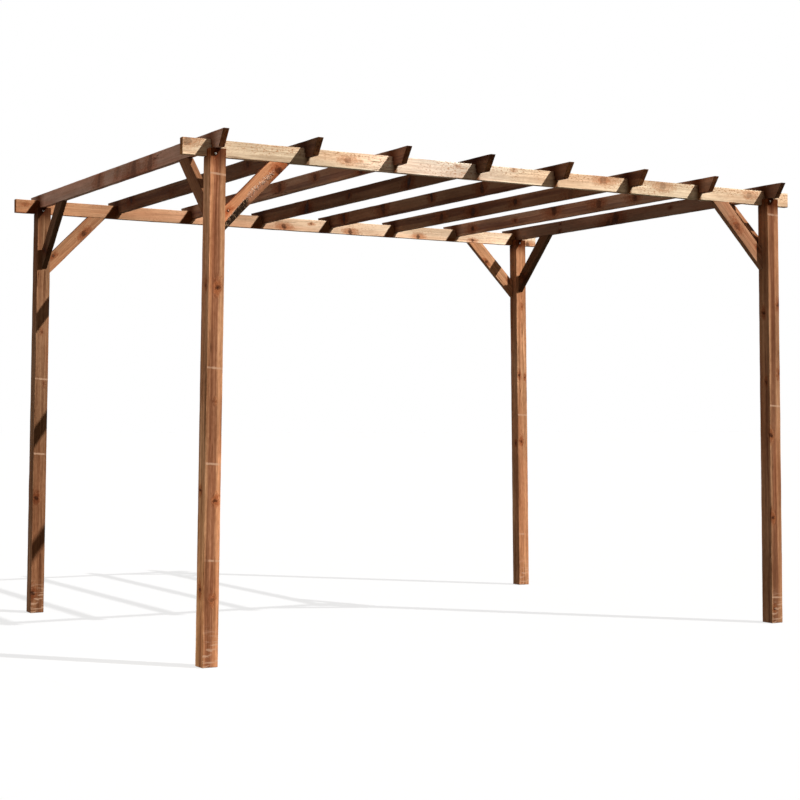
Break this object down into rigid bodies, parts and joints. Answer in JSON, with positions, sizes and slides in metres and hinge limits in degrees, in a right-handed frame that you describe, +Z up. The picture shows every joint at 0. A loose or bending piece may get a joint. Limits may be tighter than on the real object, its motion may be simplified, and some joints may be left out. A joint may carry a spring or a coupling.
{
  "type": "wooden garden pergola",
  "caption": "Free-standing timber pergola: posts with rebated heads carry notched beams, braced at every corner, under an open roof of cross-lapped rafters with slanted ends.",
  "frame": {"origin": "on the ground, below the middle of the roof", "axes": "+X along the beams to the right, +Y along the rafters to the back, +Z up"},
  "size_m": [3.26, 2.468, 2.165],
  "materials": {
    "post_timber": "brown-tinted pressure-treated softwood, sawn, with stacking marks",
    "beam_timber": "brown-tinted pressure-treated softwood, sawn, paler faces with knots",
    "rafter_timber": "brown-tinted pressure-treated softwood, sawn, with knots",
    "brace_timber": "brown-tinted pressure-treated softwood, sawn, with waney edges"
  },
  "bodies": {
    "root": {"post_front_left": "post_timber", "post_front_right": "post_timber", "post_back_right": "post_timber", "post_back_left": "post_timber", "beam_front": "beam_timber", "beam_back": "beam_timber", "rafter_1": "rafter_timber", "rafter_2": "rafter_timber", "rafter_3": "rafter_timber", "rafter_4": "rafter_timber", "rafter_5": "rafter_timber", "rafter_6": "rafter_timber", "rafter_7": "rafter_timber", "rafter_8": "rafter_timber", "beam_brace_front_left": "brace_timber", "beam_brace_front_right": "brace_timber", "beam_brace_back_right": "brace_timber", "beam_brace_back_left": "brace_timber", "rafter_brace_front_left": "brace_timber", "rafter_brace_front_right": "brace_timber", "rafter_brace_back_right": "brace_timber", "rafter_brace_back_left": "brace_timber"}
  },
  "joints": []
}
